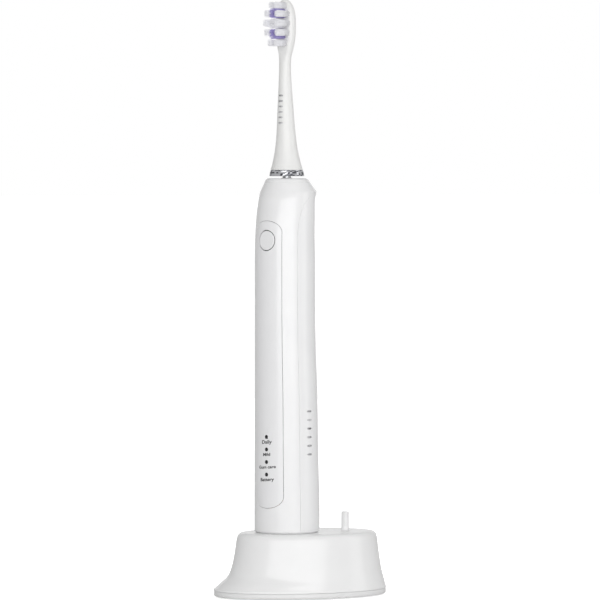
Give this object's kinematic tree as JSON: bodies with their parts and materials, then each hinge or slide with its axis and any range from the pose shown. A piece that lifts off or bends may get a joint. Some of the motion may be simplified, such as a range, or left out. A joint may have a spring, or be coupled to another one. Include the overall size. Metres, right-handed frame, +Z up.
{
  "type": "electric toothbrush on charger",
  "caption": "Sonic toothbrush with a pull-off brush head and a pressing power button, standing on an oval inductive charging base with a spare-head peg.",
  "frame": {"origin": "middle of the base's footprint, on the table", "axes": "+Z up; +X along the base towards the spare-head peg; the charging post stands at X = -6.5 mm and the brush's front faces -X, turned 34 degrees towards -Y"},
  "size_m": [0.082, 0.0512, 0.2745],
  "materials": {
    "white_abs": "glossy moulded white ABS",
    "white_panel": "glossy moulded white panel",
    "white_base": "glossy moulded white base",
    "head_pom": "satin moulded white brush head",
    "cover_abs": "fine-textured white cover",
    "grey_elastomer": "soft grey seal",
    "foot_rubber": "grey non-slip foot",
    "steel": "turned stainless steel",
    "zinc_steel": "plated steel",
    "chrome_trim": "bright chrome-plated ring",
    "bronze": "sintered bronze bush",
    "copper_wire": "enamelled copper winding",
    "ferrite": "sintered ferrite",
    "magnet": "nickel-plated magnet",
    "nylon": "natural nylon",
    "circuit_board": "green solder mask",
    "chip_black": "black epoxy package",
    "led_resin": "clear yellow resin",
    "smoke_lens": "smoke-tinted lens",
    "cell_wrap": "shrink-wrapped battery cell",
    "wire_red": "red insulated lead",
    "bristle_white": "white nylon bristles",
    "bristle_violet": "violet nylon bristles"
  },
  "bodies": {
    "charger": {"base_shell": "white_base", "base_cover": "cover_abs", "base_feet": "foot_rubber", "base_screws": "zinc_steel", "spare_head_peg": "white_base", "cord_grommet": "grey_elastomer", "base_board": "circuit_board", "base_board_parts": "chip_black", "primary_coil": "copper_wire", "primary_bobbin": "nylon", "primary_ferrite": "ferrite"},
    "handle": {"housing": "white_abs", "front_panel": "white_panel", "rear_grip": "white_abs", "bottom_cap": "white_abs", "bottom_cap_seal": "grey_elastomer", "shaft_seal": "grey_elastomer", "chassis": "nylon", "battery_cell": "cell_wrap", "battery_tabs": "zinc_steel", "battery_leads": "wire_red", "secondary_coil": "copper_wire", "secondary_bobbin": "nylon", "main_board": "circuit_board", "board_chips": "chip_black", "board_screws": "zinc_steel", "indicator_leds": "led_resin", "indicator_lenses": "smoke_lens", "switch_case": "chip_black", "button_seal": "grey_elastomer", "motor_can": "zinc_steel", "motor_front_plate": "zinc_steel", "motor_rear_plate": "zinc_steel", "motor_coils": "copper_wire", "motor_core": "ferrite", "motor_dampers": "grey_elastomer", "front_bushing": "bronze", "rear_bushing": "bronze"},
    "button": {"power_button": "white_panel", "switch_plunger": "chip_black"},
    "drive": {"drive_shaft": "steel", "rotor_core": "zinc_steel", "rotor_magnets": "magnet", "shaft_clip": "zinc_steel"},
    "brush_head": {"brush_neck": "head_pom", "collar_ring": "chrome_trim", "shaft_socket": "nylon", "socket_spring": "steel", "outer_tufts": "bristle_white", "inner_tufts": "bristle_violet", "centre_tufts": "bristle_white", "tuft_anchors": "bronze"}
  },
  "joints": [
    {"name": "handle_lift", "type": "slide", "parent": "charger", "child": "handle", "axis": [0, 0, 1], "range_m": [0, 0.05]},
    {"name": "button_press", "type": "slide", "parent": "handle", "child": "button", "axis": [0.829, 0.5592, 0], "range_m": [0, 0.0006], "stiffness_N_per_m": 1500, "springref_m": -0.0006},
    {"name": "shaft_sweep", "type": "hinge", "parent": "handle", "child": "drive", "pos_m": [-0.0065, 0, 0.2], "axis": [0, 0, 1], "range_deg": [-4.6, 4.6], "stiffness_Nm_per_rad": 0.35},
    {"name": "head_pull", "type": "slide", "parent": "drive", "child": "brush_head", "axis": [0, 0, 1], "range_m": [0, 0.03]}
  ]
}
